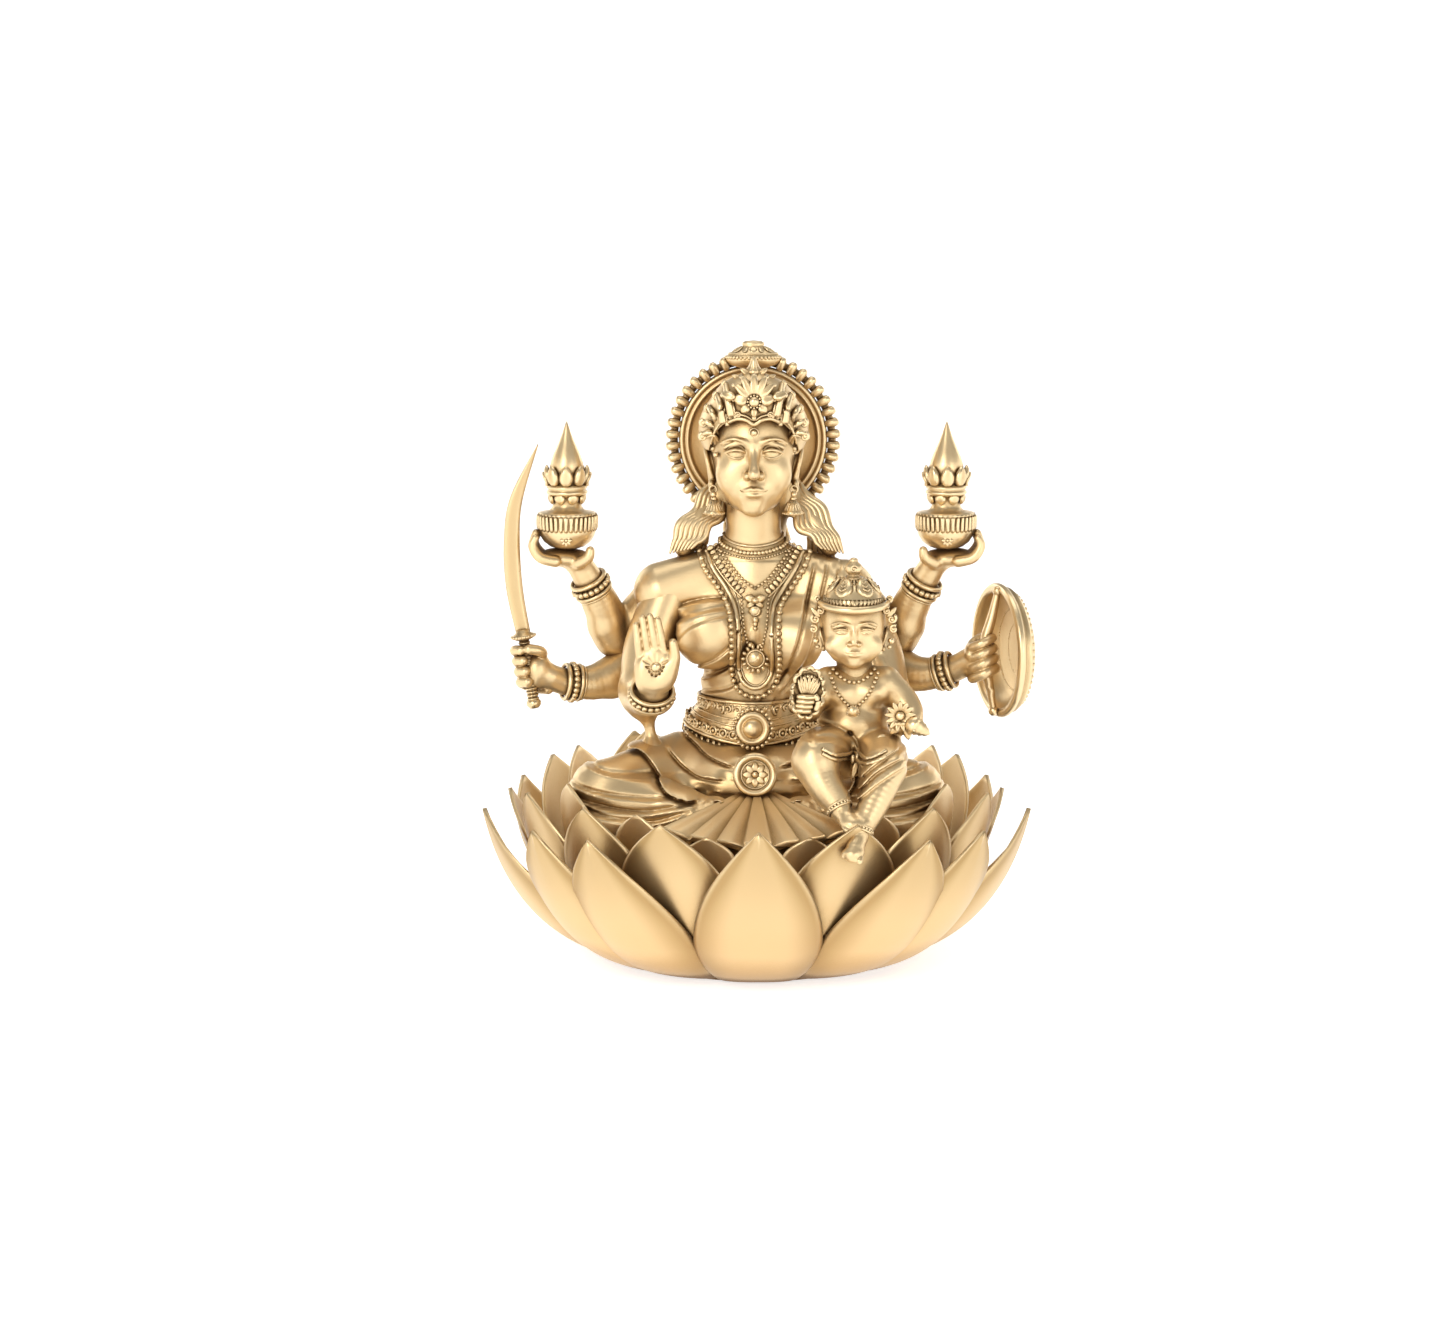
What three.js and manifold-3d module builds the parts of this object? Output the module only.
// A seated six-armed deity statuette on a lotus throne, cast in brass as separate pieces that are
// bolted, riveted and pressed together. Millimetres, +Z up, the front of the figure faces -Y,
// and the origin is the middle of the underside.
import * as THREE from "three";
import { mergeVertices } from "three/addons/utils/BufferGeometryUtils.js";
import Module from "manifold-3d";

const wasm = await Module();
wasm.setup();

// ---- Driving dimensions --------------------------------------------------------------------
const CLEARANCE = 0.35; // left between pieces that meet
const FOOT_RADIUS = 62; // flat disc that the statuette stands on
const FOOT_THICKNESS = 3;
const DECK_Z = 64; // top of the seat inside the lotus
const DECK_RADIUS = 86;
const WALL = 5; // casting thickness of the lotus bowl
const OUTER_TIP_RADIUS = 132; // half of the overall width
const HEAD_X = -1.5; // the head leans a little to the figure's right
const EYE_Z = 245;
const CHIN_Z = 213;
const HALO_Z = 246.5;
const HALO_Y = 31;
const HALO_PLATE_RADIUS = 36;
const HALO_OUTER_RADIUS = 42.5;
const HALO_TEETH = 44;
const KALASH_X = 90.5; // the two pots, left and right of the middle
const KALASH_Y = 2;
const KALASH_Z = 197;
const SHOULDER_Z = 178;
const SIDES = 8; // facets round a limb
const SLIVER = 0.02; // facets flatter than this are merged after cutting

// ---- Finishes ------------------------------------------------------------------------------
const castBrass = new THREE.MeshStandardMaterial({ color: 0xc9a465, roughness: 0.4, metalness: 1 });
const brightBrass = new THREE.MeshStandardMaterial({ color: 0xd9b878, roughness: 0.32, metalness: 1 });
const darkBrass = new THREE.MeshStandardMaterial({ color: 0xa47f48, roughness: 0.5, metalness: 1 });
const steel = new THREE.MeshStandardMaterial({ color: 0x9a9a9c, roughness: 0.4, metalness: 1 });

// ---- Solids from three.js geometry ---------------------------------------------------------
function solidOf(geometry, matrix = new THREE.Matrix4()) {
  const bare = new THREE.BufferGeometry().setAttribute("position", geometry.getAttribute("position").clone());
  if (geometry.index) bare.setIndex(geometry.index.clone());
  bare.applyMatrix4(matrix);
  const merged = mergeVertices(bare, 1e-3);
  const triVerts = new Uint32Array(merged.index.array);
  const made = new wasm.Manifold(
    new wasm.Mesh({ numProp: 3, vertProperties: merged.attributes.position.array, triVerts }),
  );
  return made;
}

function union(...solids) {
  return solids.flat().reduce((a, b) => a.add(b));
}

function placed(x, y, z, turn = [0, 0, 0], scale = [1, 1, 1]) {
  return new THREE.Matrix4().compose(
    new THREE.Vector3(x, y, z),
    new THREE.Quaternion().setFromEuler(new THREE.Euler(...turn.map(THREE.MathUtils.degToRad))),
    new THREE.Vector3(...scale),
  );
}

// An ellipsoid with the given half-axes, turned by degrees about X, Y and Z.
function ball(centre, radii, grow, turn = [0, 0, 0], segments = SIDES) {
  const size = radii.map((r) => r + grow);
  return solidOf(new THREE.SphereGeometry(1, segments, Math.round(segments * 0.7)), placed(...centre, turn, size));
}

// A limb with round ends through a list of [centre, radius]: a lathe whose rings are moved onto the
// stations and turned square to the line through them.
function limb(stations, grow, sides = SIDES) {
  const centres = stations.map(([centre]) => new THREE.Vector3(...centre));
  const last = stations.length - 1;
  const rings = stations.map(([, radius], i) => {
    const into = centres[i].clone().sub(centres[Math.max(i - 1, 0)]).normalize();
    const onward = centres[Math.min(i + 1, last)].clone().sub(centres[i]).normalize();
    return { centre: centres[i], radius: radius + grow, heading: into.add(onward).normalize() };
  });
  const domed = ({ centre, radius, heading }, way) =>
    [1, Math.SQRT1_2].map((reach) => ({
      centre: centre.clone().addScaledVector(heading, way * radius * reach),
      radius: radius * Math.sqrt(1 - reach * reach),
      heading,
    }));
  const all = [...domed(rings[0], -1), ...rings, ...domed(rings[last], 1).reverse()];
  const turns = [new THREE.Quaternion().setFromUnitVectors(new THREE.Vector3(0, 1, 0), all[0].heading)];
  for (let i = 1; i < all.length; i++) {
    const step = new THREE.Quaternion().setFromUnitVectors(all[i - 1].heading, all[i].heading);
    turns.push(step.multiply(turns[i - 1]));
  }
  const geometry = new THREE.LatheGeometry(all.map(({ radius }, i) => new THREE.Vector2(radius, i)), sides);
  const position = geometry.getAttribute("position");
  const point = new THREE.Vector3();
  for (let i = 0; i < position.count; i++) {
    point.fromBufferAttribute(position, i);
    const ring = Math.round(point.y);
    point.setY(0).applyQuaternion(turns[ring]).add(all[ring].centre);
    position.setXYZ(i, ...point);
  }
  return solidOf(geometry);
}

// A turned solid about a vertical axis: profile is [radius, height] from the bottom up.
function turned(profile, centre, grow, sides, scale = [1, 1, 1], turn = [0, 0, 0]) {
  const last = profile.length - 1;
  const points = profile.map(
    ([r, h], i) => new THREE.Vector2(r > 0 ? r + grow : 0, h + (i === 0 ? -grow : i === last ? grow : 0)),
  );
  const upright = placed(...centre, turn, scale).multiply(placed(0, 0, 0, [90, 0, 0]));
  return solidOf(new THREE.LatheGeometry(points, sides), upright);
}

function mirrored(point) {
  return [-point[0], point[1], point[2]];
}

// ---- Lotus ---------------------------------------------------------------------------------
// Each row lists the azimuths of its petals from the front round one side, in degrees from -Y, and
// the heights of their tips. ends and endTips are the petals on the middle line.
const OUTER_ROW = {
  side: [34, 50, 79, 115, 147],
  tips: [78, 77, 75.5, 76, 76.5],
  ends: [0, 180],
  endTips: [86.5, 76.5],
  line: [[63.5, 2.1], [97, 8], [122, 30], [OUTER_TIP_RADIUS, 78]],
  thickness: 3.2,
  cup: 5,
};
const MIDDLE_ROW = {
  side: [21, 41, 63, 92, 121, 148],
  tips: [85.5, 89, 89, 80, 86, 91],
  ends: [],
  endTips: [],
  line: [[84, 18], [104, 28], [111, 56], [119, 86]],
  thickness: 3,
  cup: 3,
};
const INNER_ROW = {
  side: [14, 35, 66, 116, 146],
  tips: [76, 84, 90.5, 94, 95],
  ends: [180],
  endTips: [95],
  line: [[91, 47], [94, 58], [95, 68], [97, 78]],
  thickness: 2.6,
  cup: 2,
};
const PETAL_FILL = 0.975; // share of its sector that a petal takes at its widest
const PETAL_SHOULDER = 0.5; // where along the petal its sides start to close in
const EDGE_GROWTH = 2.5; // petals taper and curve, so they need more relief than flat faces

// The [azimuth, tip height] of every petal of a row, right round from the front.
function petalsOf(row) {
  const right = row.side.map((azimuth, i) => [azimuth, row.tips[i]]);
  const left = right.map(([azimuth, tip]) => [360 - azimuth, tip]).reverse();
  const ends = row.ends.map((azimuth, i) => [azimuth, row.endTips[i]]);
  const front = ends.filter(([azimuth]) => azimuth === 0);
  const back = ends.filter(([azimuth]) => azimuth === 180);
  return [...front, ...right, ...back, ...left];
}

function widthShare(u) {
  if (u < PETAL_SHOULDER) return PETAL_FILL;
  const s = (u - PETAL_SHOULDER) / (1 - PETAL_SHOULDER);
  return PETAL_FILL * Math.max(1 - s * s, 0.02);
}

// A box of unit size bent into a cupped petal shell within its own sector of the lotus.
function petal(row, index, grow, along = 7, across = 4) {
  const petals = petalsOf(row);
  const n = petals.length;
  const [here, tip] = petals[index];
  const before = (here - petals[(index + n - 1) % n][0] + 360) % 360;
  const after = (petals[(index + 1) % n][0] - here + 360) % 360;
  const raise = tip - row.line[3][1];
  const [p0, p1, p2, p3] = row.line.map(([r, z], i) => new THREE.Vector2(r, z + (raise * i * i) / 9));
  const line = new THREE.CubicBezierCurve(p0, p1, p2, p3);
  const geometry = new THREE.BoxGeometry(2, 1, 1, across, along, 1);
  const position = geometry.getAttribute("position");
  for (let i = 0; i < position.count; i++) {
    const v = position.getX(i);
    const u = position.getY(i) + 0.5;
    const side = position.getZ(i) * 2;
    const mid = line.getPoint(u);
    const tangent = line.getTangent(u);
    const half = THREE.MathUtils.degToRad(v < 0 ? before : after) / 2;
    const angle = THREE.MathUtils.degToRad(here) + v * (half * widthShare(u) + (EDGE_GROWTH * grow) / mid.x);
    const offset = side * (row.thickness / 2 + EDGE_GROWTH * grow);
    const cup = row.cup * v * v * Math.sin(Math.PI * Math.min(u + 0.1, 1) * 0.9);
    const r = mid.x + tangent.y * offset - cup;
    const z = mid.y - tangent.x * offset + (u > 0.99 ? EDGE_GROWTH * grow : 0);
    position.setXYZ(i, r * Math.sin(angle), -r * Math.cos(angle), z);
  }
  return solidOf(geometry);
}

function innerPetalRing(grow) {
  const inner = INNER_ROW.line[0][0] - 1.3 - grow;
  const outer = INNER_ROW.line[0][0] + 1.3 + grow;
  const band = [[inner, 46 - grow], [outer, 46 - grow], [outer, 56 + grow], [inner, 56 + grow], [inner, 46 - grow]];
  const geometry = new THREE.LatheGeometry(band.map(([r, z]) => new THREE.Vector2(r, z)), 24);
  const ring = solidOf(geometry, placed(0, 0, 0, [90, 0, 0]));
  const petals = petalsOf(INNER_ROW).map((_, i) => petal(INNER_ROW, i, grow, 3, 2));
  return union(ring, petals);
}

function baseCover(grow) {
  return turned([[0, 0], [FOOT_RADIUS, 0], [FOOT_RADIUS, FOOT_THICKNESS], [0, FOOT_THICKNESS]], [0, 0, 0], grow, 36);
}

// The bowl is an open-bottomed shell: the seat bolt passes through its deck.
function lotusBowl(grow) {
  const low = FOOT_THICKNESS + CLEARANCE;
  const outside = [[57, low], [66, 10], [76, 19], [83, 32], [DECK_RADIUS, 46], [DECK_RADIUS, 58], [81, DECK_Z]];
  const inside = [[76, DECK_Z - WALL], [80, 44], [77, 32], [70, 21], [60, 13], [50, low]];
  const hole = 4 - grow;
  const profile = [...outside.map(([r, z]) => [r + grow, z]), [hole, DECK_Z + grow], [hole, DECK_Z - WALL - grow]];
  profile.push(...inside.map(([r, z]) => [r - grow, z]), [57 + grow, low]);
  return solidOf(
    new THREE.LatheGeometry(profile.map(([r, z]) => new THREE.Vector2(r, z)), 24),
    placed(0, 0, 0, [90, 0, 0]),
  );
}

function seatBolt(grow) {
  return turned([[0, DECK_Z - 12], [3.2, DECK_Z - 12], [3.2, DECK_Z + 14], [0, DECK_Z + 14]], [0, 0, 0], grow, 12);
}

function seatNut(grow) {
  const top = DECK_Z - WALL - CLEARANCE;
  const bore = 3.2 + CLEARANCE - grow;
  const outer = 7.5 + grow;
  const profile = [[bore, top - 5], [outer, top - 5], [outer, top], [bore, top], [bore, top - 5]];
  return solidOf(
    new THREE.LatheGeometry(profile.map(([r, z]) => new THREE.Vector2(r, z)), 6),
    placed(0, 0, 0, [90, 0, 0]),
  );
}

// ---- Seated body ---------------------------------------------------------------------------
const KNEE = [74, -22, 83];

function lapDrapery(grow) {
  const sides = [1, -1].flatMap((s) => [
    ball([s * 52, -20, 80], [38, 36, 17], grow, [0, s * 4, s * 8], 12),
    limb([[[s * 24, 4, 93], 17], [[s * 52, -12, 87], 17.5], [[s * KNEE[0], KNEE[1], KNEE[2]], 15.5]], grow),
    limb([[[s * KNEE[0], KNEE[1], KNEE[2] - 2], 15], [[s * 8, -56, 71], 11]], grow),
  ]);
  const seat = ball([0, 2, 86], [50, 39, 22], grow, [0, 0, 0], 12);
  const whole = union(seat, sides);
  return whole.trimByPlane([0, 0, 1], DECK_Z + CLEARANCE - grow);
}

function pleatFan(grow) {
  const fan = new THREE.Shape();
  fan.moveTo(-9, 26);
  fan.quadraticCurveTo(-20, 6, -44, -19);
  fan.quadraticCurveTo(0, -36, 44, -19);
  fan.quadraticCurveTo(20, 6, 9, 26);
  const geometry = new THREE.ExtrudeGeometry(fan, { depth: 5 + 2 * grow, bevelEnabled: false, curveSegments: 6 });
  return solidOf(geometry, placed(0, -66 + grow, 76.6 - grow, [23, 0, 0]));
}

function torso(grow) {
  const pelvis = ball([-1, 7, 109], [34, 24, 20], grow, [0, 0, 0], 12);
  const waist = ball([-1, 5, 130], [26, 18, 26], grow, [0, 0, 0], 12);
  const chest = ball([-2, 5, 161], [36, 20, 23], grow, [0, 0, 0], 12);
  const bust = [1, -1].map((s) => ball([s * 19 - 3, -10, 156], [16.5, 14.5, 15.5], grow));
  const shoulders = ball([-2, 6, SHOULDER_Z], [49, 15, 15], grow, [0, 0, 0], 12);
  const neck = limb([[[0, 8, 182], 15], [[HEAD_X, 5, 214], 12.6]], grow);
  return union(pelvis, waist, chest, bust, shoulders, neck);
}

function head(grow) {
  const skull = ball([HEAD_X, 7, 253], [21.5, 24, 24], grow, [0, 0, 0], 12);
  const face = ball([HEAD_X, -1, 241], [19, 19, 26], grow, [0, 0, 0], 12);
  const chin = ball([HEAD_X, -8, CHIN_Z + 8], [10, 10, 8], grow);
  const nose = limb([[[HEAD_X, -18, EYE_Z], 2], [[HEAD_X, -21, EYE_Z - 11], 3]], grow, 6);
  const ears = [1, -1].map((s) => ball([HEAD_X + s * 20.5, 3, 240], [3, 4.5, 9], grow, [0, 0, 0], 8));
  return union(skull, face, chin, nose, ears);
}

function hair(grow) {
  const cap = ball([HEAD_X, 12, 252], [25, 15, 25], grow);
  const locks = [1, -1].map((s) =>
    limb([[[s * 14, 16, 228], 7], [[s * 24, 13, 213], 7.5], [[s * 33, 9, 202], 7], [[s * 38, 6, 195], 5]], grow),
  );
  const back = limb([[[0, 15, 228], 16], [[0, 19, 198], 17], [[0, 21, 160], 10]], grow, 12);
  return union(cap, locks, back);
}

function crown(grow) {
  const profile = [
    [0, 247], [25, 247], [27.5, 253], [26, 262], [20, 271], [13, 279], [6, 284], [2.4, 286], [3.2, 288], [0, 293],
  ];
  return turned(profile, [HEAD_X, -3, 0], grow, 14, [1, 0.82, 1]).trimByPlane([0, 0.55, 1], 247 - grow);
}

// ---- Halo ----------------------------------------------------------------------------------
function circle(x, z, radius, hole = false) {
  const path = hole ? new THREE.Path() : new THREE.Shape();
  return path.absarc(x, z, radius, 0, 2 * Math.PI, hole);
}

function haloPlate(grow) {
  const bolt = circle(HEAD_X, -HALO_Z, 3 - grow, true);
  const disc = circle(HEAD_X, -HALO_Z, HALO_PLATE_RADIUS + grow);
  disc.holes.push(bolt);
  return plateFacingFront(disc, HALO_Y, 3, grow);
}

// Outlines for a plate that faces the front are drawn with their second coordinate as -Z.
function plateFacingFront(shape, y, thickness, grow) {
  const geometry = new THREE.ExtrudeGeometry(shape, {
    depth: thickness + 2 * grow,
    bevelEnabled: false,
    curveSegments: 20,
  });
  return solidOf(geometry, placed(0, y - thickness / 2 - grow, 0, [-90, 0, 0]));
}

function haloRim(grow) {
  const outline = new THREE.Shape();
  const valley = HALO_OUTER_RADIUS - 3.5 + grow;
  const crest = HALO_OUTER_RADIUS + grow;
  for (let i = 0; i < HALO_TEETH; i++) {
    for (const [share, radius] of [[-0.45, valley], [-0.22, crest], [0.22, crest]]) {
      const angle = (2 * Math.PI * (i + share)) / HALO_TEETH;
      const x = HEAD_X + radius * Math.cos(angle);
      const z = -HALO_Z + radius * Math.sin(angle);
      if (i === 0 && share === -0.45) outline.moveTo(x, z);
      else outline.lineTo(x, z);
    }
  }
  outline.closePath();
  outline.holes.push(circle(HEAD_X, -HALO_Z, HALO_PLATE_RADIUS + CLEARANCE - grow, true));
  return plateFacingFront(outline, HALO_Y, 5, grow);
}

function haloFinial(grow) {
  const profile = [[0, -6], [9, -6], [13.5, -3.5], [14, -1], [10, 2], [6, 5], [5.2, 6.7], [0, 6.7]];
  return turned(profile, [HEAD_X, HALO_Y - 2, 289], grow, 16, [1, 0.55, 1]);
}

function haloBolt(grow) {
  const turn = [-90, 0, 0];
  const shank = turned([[0, -12], [2.6, -12], [2.6, 2], [0, 2]], [HEAD_X, HALO_Y, HALO_Z], grow, 10, [1, 1, 1], turn);
  const dome = [[0, 2], [6, 2], [6, 6], [3, 7.5], [0, 7.5]];
  const knob = turned(dome, [HEAD_X, HALO_Y, HALO_Z], grow, 12, [1, 1, 1], turn);
  return union(shank, knob);
}

// ---- Arms ----------------------------------------------------------------------------------
// The three right arms are on -X, because the figure faces the viewer.
function blessingArm(grow) {
  const stations = [[[-43, 5, 178], 12.5], [[-51, -2, 153], 12.3], [[-54, -12, 131], 11], [[-48, -40, 136], 8]];
  const arm = limb(stations, grow);
  const palm = ball([-47.5, -45, 148], [9.8, 4.5, 13], grow);
  const fingers = ball([-50, -45, 161.5], [8.2, 3, 11.5], grow, [0, -8, 0]);
  const thumb = limb([[[-40, -46, 146], 2.6], [[-39, -47, 159], 2.2]], grow, 8);
  const post = limb([[[-54, -11, 124], 5], [[-51, -12, 112], 3], [[-50, -13, 100], 5]], grow, 8);
  return union(arm, palm, fingers, thumb, post);
}

function swordArm(grow) {
  const arm = limb([[[-46, 18, 172], 11], [[-60, 17, 138], 10.5], [[-88, 5, 132], 8], [[-98, 1, 134], 7]], grow);
  const fist = ball([-107, -3, 139], [11.5, 9.5, 13], grow, [0, -24, 0], 12);
  return union(arm, fist);
}

function kalashArm(side, grow) {
  const flip = side < 0 ? (p) => p : mirrored;
  const stations = [[[-46, 20, 174], 11], [[-67, 18, 150], 11], [[-79, 8, 183], 8], [[-84, 5, 190], 6.5]];
  const arm = limb(stations.map(([p, r]) => [flip(p), r]), grow);
  const palm = ball(flip([-91, KALASH_Y, 195]), [12.5, 9.5, 6.5], grow);
  const tips = [[[-100, KALASH_Y, 195], 4.5], [[-106, KALASH_Y, 200], 3], [[-106, KALASH_Y, 205], 2.4]];
  const fingers = limb(tips.map(([p, r]) => [flip(p), r]), grow, 8);
  return union(arm, palm, fingers);
}

const SHIELD_CENTRE = [116.5, 3, 147.5];
const SHIELD_RADIUS = 32.5;
const SHIELD_RISE = 15;
const SHIELD_FACING = THREE.MathUtils.degToRad(73); // from straight back towards the figure's left
const SHIELD_AXIS = new THREE.Vector3(Math.sin(SHIELD_FACING), Math.cos(SHIELD_FACING), 0);

function shieldArm(grow) {
  const arm = limb([[[46, 18, 172], 11], [[60, 17, 141], 10.5], [[92, 5, 136], 8], [[101, 1, 141], 7]], grow);
  const fist = ball([109.5, -3, 147], [10, 9, 10], grow, [0, 20, 0], 12);
  return union(arm, fist);
}

function cradleArm(grow) {
  const upper = [[[46, 5, 177], 14], [[58, 0, 148], 12], [[63, -10, 128], 10.5]];
  const fore = [[[60, -36, 114], 8], [[49, -40, 108], 7]];
  return limb([...upper, ...fore], grow);
}

// ---- What the hands hold -------------------------------------------------------------------
function kalash(side, grow) {
  const profile = [
    [0, 0], [7, 0.6], [12, 4.6], [13.7, 8.8], [14.6, 9.6], [14.6, 16.2], [9, 18], [6.8, 22], [9, 26],
    [10, 28], [9, 31], [11.2, 37], [8.4, 39.5], [3.8, 51], [0, 61],
  ];
  return turned(profile, [side * KALASH_X, KALASH_Y, KALASH_Z], grow, 16);
}

function sword(grow) {
  const blade = new THREE.Shape();
  blade.moveTo(-115.5 - grow, -156);
  blade.bezierCurveTo(-122 - grow, -188, -122 - grow, -215, -103.5, -248 - grow);
  blade.bezierCurveTo(-112 + grow, -215, -113.5 + grow, -188, -108 + grow, -156);
  blade.closePath();
  const flat = plateFacingFront(blade, -4, 2, grow);
  const guard = turned([[0, 153.5], [5.6, 153.5], [5.6, 157.5], [0, 157.5]], [-111.5, -4, 0], grow, 12);
  const grip = limb([[[-111.5, -4, 154], 2.6], [[-106.5, -4, 123], 3.4]], grow, 10);
  return union(flat, guard, grip);
}

// A hollow dome whose open side faces the fist that carries it.
function shield(grow) {
  const rim = SHIELD_RADIUS + grow;
  const dome = (radius, rise, from) =>
    [0, 0.25, 0.5, 0.75, 1].map((t) => [
      radius * Math.cos((t * Math.PI) / 2),
      from + rise * Math.sin((t * Math.PI) / 2),
    ]);
  const inside = dome(SHIELD_RADIUS - 4 - grow, SHIELD_RISE - 2.5, -grow).reverse();
  const outside = dome(rim, SHIELD_RISE, grow);
  inside[0][0] = 0;
  outside[outside.length - 1][0] = 0;
  const points = [...inside, [rim, -grow], ...outside.slice(1)].map(([r, h]) => new THREE.Vector2(r, h));
  const matrix = new THREE.Matrix4().compose(
    new THREE.Vector3(...SHIELD_CENTRE),
    new THREE.Quaternion().setFromUnitVectors(new THREE.Vector3(0, 1, 0), SHIELD_AXIS),
    new THREE.Vector3(1, 1, 1),
  );
  return solidOf(new THREE.LatheGeometry(points, 20), matrix);
}

function shieldGrip(grow) {
  const [x, y, z] = SHIELD_CENTRE;
  return limb([[[x - 0.5, y - 2, z + 28], 2], [[x - 2, y - 4, z - 28], 2]], grow, 8);
}

// ---- Jewellery -----------------------------------------------------------------------------
function belt(grow) {
  const profile = [[0, 106], [34.5, 106], [34.5, 112], [31, 119], [28.5, 129], [0, 129]];
  return turned(profile, [-1, 4, 0], grow, 24, [1, 0.78, 1]);
}

function buckle(x, y, z, radius, grow) {
  const profile = [[0, -5], [radius, -5], [radius, 0], [radius * 0.72, 1.6], [0, 2.6]];
  return turned(profile, [x, y, z], grow, 20, [1, 1, 1], [90, 0, 0]);
}

function necklace(stations, thickness, grow) {
  return limb(stations.map((p) => [p, thickness]), grow, 5);
}

function longNecklace(grow) {
  const half = [[27, -2, 194], [26, -9, 182], [20, -20, 170], [13, -25.5, 156], [13, -22, 142], [9, -17.5, 134]];
  const bottom = [0, -16.5, 131];
  return necklace([...half, bottom, ...half.map(mirrored).reverse()], 3, grow);
}

function choker(grow) {
  const half = [[15.5, 3, 203], [12, -7, 200], [6, -12, 197.5]];
  return necklace([...half, [0, -13, 196.5], ...half.map(mirrored).reverse()], 2.2, grow);
}

// ---- Child on the left thigh ---------------------------------------------------------------
const CHILD_X = 44;

function childBody(grow) {
  const trunk = ball([45, -54, 128], [17, 13, 22], grow, [6, 0, 0], 12);
  const hips = ball([46, -55, 110], [18.5, 15, 12], grow, [0, 0, 0], 12);
  const rightArm = limb([[[33, -57, 141], 6.5], [[26, -65, 130], 6], [[23, -74, 133], 5]], grow);
  const leftArm = limb([[[60, -57, 140], 7], [[70, -60, 128], 6.4], [[65, -73, 124], 4.8]], grow);
  const right = [[[35, -62, 109], 11], [[26, -86, 110], 10.5], [[36, -95, 93], 6.5], [[40, -103, 86], 5]];
  const left = [[[54, -62, 109], 11], [[57, -86, 107], 9.5], [[47, -102, 84], 6], [[42.5, -112, 72], 5.5]];
  const rightLeg = limb(right, grow);
  const leftLeg = limb(left, grow);
  return union(trunk, hips, rightArm, leftArm, rightLeg, leftLeg);
}

function childHead(grow) {
  const skull = ball([CHILD_X, -58, 168], [14.5, 15.5, 16.5], grow, [0, 0, 0], 12);
  const cheeks = ball([CHILD_X, -62, 159.5], [13, 11.5, 11], grow, [0, 0, 0], 12);
  const neck = limb([[[CHILD_X, -56, 156], 8], [[CHILD_X + 1, -55, 144], 8]], grow, 10);
  const ears = [1, -1].map((s) => ball([CHILD_X + s * 15, -57, 163], [2.6, 3.6, 5.5], grow, [0, 0, 0], 8));
  return union(skull, cheeks, neck, ears);
}

function childCap(grow) {
  const profile = [
    [0, 176], [17, 177], [17, 179.2], [15, 180.4], [11.5, 185.5],
    [5, 189], [2.8, 190.5], [4, 193.5], [2.5, 197], [0, 200],
  ];
  return turned(profile, [CHILD_X, -58, 0], grow, 18);
}

function childFlower(side, grow) {
  const centre = side < 0 ? [22.5, -80, 140.5] : [65, -81, 128];
  return ball(centre, side < 0 ? [8.8, 3.2, 12.8] : [9.5, 3.4, 9.5], grow, [0, side < 0 ? 8 : 0, 0], 12);
}

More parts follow.
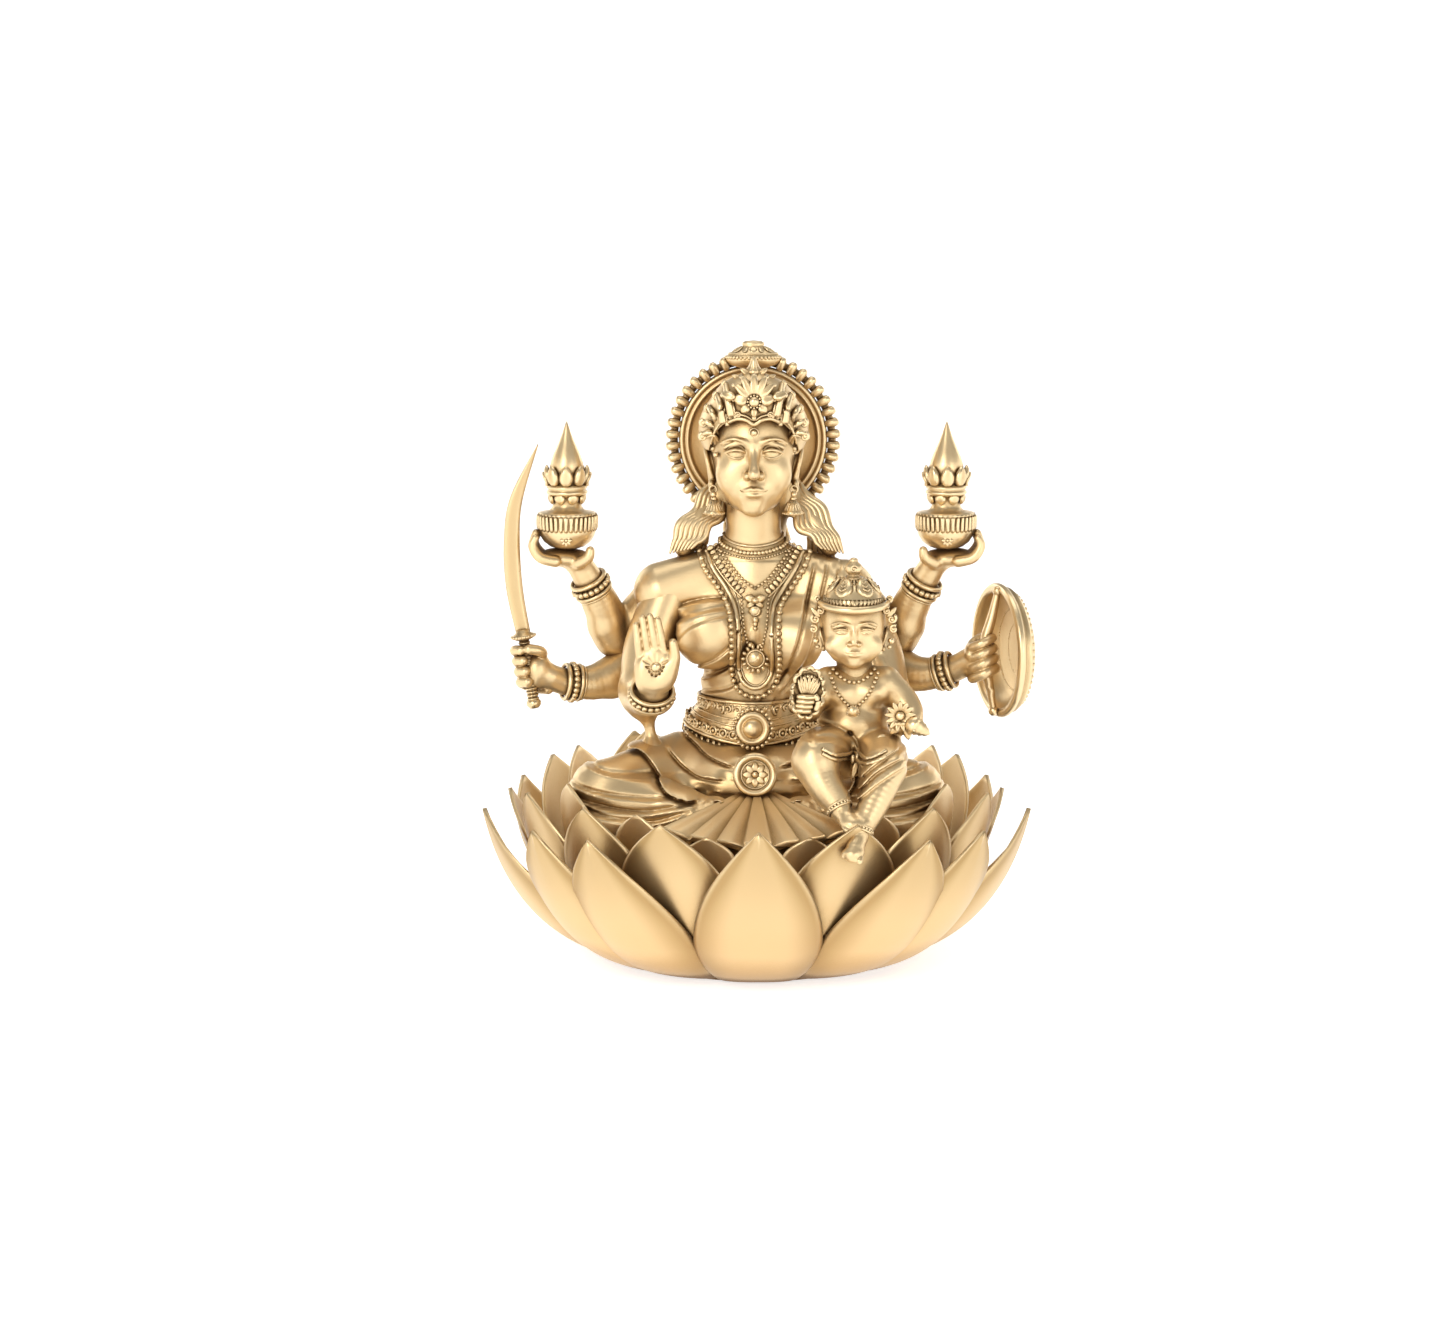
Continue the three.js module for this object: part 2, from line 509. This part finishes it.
// ---- Assembly ------------------------------------------------------------------------------
// Pieces higher in this list keep their shape; a later piece is relieved round the earlier ones.
const outerPetals = petalsOf(OUTER_ROW).map((_, i) => [
  `outer_petal_${String(i + 1).padStart(2, "0")}`, (g) => petal(OUTER_ROW, i, g), castBrass,
]);
const middlePetals = petalsOf(MIDDLE_ROW).map((_, i) => [
  `middle_petal_${String(i + 1).padStart(2, "0")}`, (g) => petal(MIDDLE_ROW, i, g, 6, 4), castBrass,
]);
const pieces = [
  ["base_cover", baseCover, darkBrass],
  ["lotus_bowl", lotusBowl, castBrass],
  ["seat_bolt", seatBolt, steel],
  ["seat_nut", seatNut, steel],
  ["inner_petal_ring", innerPetalRing, castBrass],
  ...middlePetals,
  ...outerPetals,
  ["torso", torso, castBrass],
  ["head", head, castBrass],
  ["lap_drapery", lapDrapery, castBrass],
  ["halo_bolt", haloBolt, brightBrass],
  ["halo_plate", haloPlate, castBrass],
  ["halo_rim", haloRim, castBrass],
  ["halo_finial", haloFinial, castBrass],
  ["crown", crown, brightBrass],
  ["sword", sword, brightBrass],
  ["kalash_right", (g) => kalash(-1, g), brightBrass],
  ["kalash_left", (g) => kalash(1, g), brightBrass],
  ["shield_grip", shieldGrip, brightBrass],
  ["child_body", childBody, castBrass],
  ["child_head", childHead, castBrass],
  ["child_cap", childCap, brightBrass],
  ["blessing_arm", blessingArm, castBrass],
  ["sword_arm", swordArm, castBrass],
  ["kalash_arm_right", (g) => kalashArm(-1, g), castBrass],
  ["kalash_arm_left", (g) => kalashArm(1, g), castBrass],
  ["shield_arm", shieldArm, castBrass],
  ["shield", shield, brightBrass],
  ["cradle_arm", cradleArm, castBrass],
  ["hair", hair, castBrass],
  ["lower_buckle", (g) => buckle(-1, -45, 95.8, 10.5, g), brightBrass],
  ["upper_buckle", (g) => buckle(-2, -25, 114.5, 8.5, g), brightBrass],
  ["belt", belt, brightBrass],
  ["pleat_fan", pleatFan, castBrass],
  ["choker", choker, brightBrass],
  ["long_necklace", longNecklace, brightBrass],
  ["child_flower_right", (g) => childFlower(-1, g), brightBrass],
  ["child_flower_left", (g) => childFlower(1, g), brightBrass],
];

function boxesMeet(a, b) {
  const p = a.boundingBox();
  const q = b.boundingBox();
  return [0, 1, 2].every((k) => p.min[k] <= q.max[k] && q.min[k] <= p.max[k]);
}

function largestBody(solid) {
  return solid.simplify(SLIVER).decompose().sort((a, b) => b.volume() - a.volume())[0];
}

function geometryOf(solid) {
  const mesh = solid.getMesh();
  const geometry = new THREE.BufferGeometry();
  const position = new Float32Array(mesh.numVert * 3);
  for (let i = 0; i < mesh.numVert; i++) {
    for (let k = 0; k < 3; k++) position[3 * i + k] = mesh.vertProperties[mesh.numProp * i + k];
  }
  geometry.setAttribute("position", new THREE.BufferAttribute(position, 3));
  geometry.setIndex(new THREE.BufferAttribute(mesh.triVerts, 1));
  geometry.computeVertexNormals();
  return geometry;
}

const statuette = new THREE.Group();
statuette.name = "deity_statuette";
const finished = [];
for (const [name, make, material] of pieces) {
  let solid = make(0);
  for (const other of finished) {
    if (boxesMeet(solid, other.grown)) solid = solid.subtract(other.grown);
  }
  const mesh = new THREE.Mesh(geometryOf(largestBody(solid)), material);
  mesh.name = name;
  statuette.add(mesh);
  finished.push({ grown: make(CLEARANCE) });
}

export default statuette;
